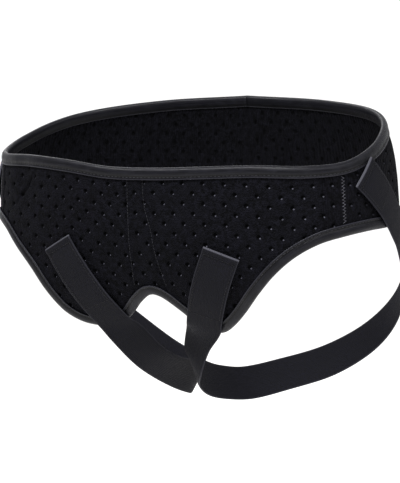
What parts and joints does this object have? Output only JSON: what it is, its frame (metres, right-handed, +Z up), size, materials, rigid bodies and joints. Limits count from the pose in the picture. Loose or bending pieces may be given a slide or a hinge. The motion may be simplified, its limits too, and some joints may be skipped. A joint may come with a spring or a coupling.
{
  "type": "hernia belt",
  "caption": "Hernia support belt in its worn shape: perforated padded front panel with lobes beside an arch, waist band closed at the back, bound edges, elastic leg straps with hook tabs",
  "frame": {"origin": "centre of the wearer's hips, level with the top edge of the front panel", "axes": "+X to the wearer's left, -Y forward out of the front panel, +Z up the body"},
  "size_m": [0.3558, 0.2443, 0.2646],
  "materials": {
    "padded_cloth": "matte foam-backed knit",
    "satin_tape": "satin folded tape",
    "woven_elastic": "smooth woven elastic",
    "hook_tape": "matte hook tape"
  },
  "bodies": {
    "root": {"front_panel": "padded_cloth", "back_band_left": "padded_cloth", "back_band_right": "padded_cloth", "closure_tab": "hook_tape", "lower_binding": "satin_tape", "top_binding": "satin_tape", "leg_strap_left": "woven_elastic", "front_hook_left": "hook_tape", "hip_hook_left": "hook_tape", "leg_strap_right": "woven_elastic", "front_hook_right": "hook_tape", "hip_hook_right": "hook_tape"}
  },
  "joints": []
}
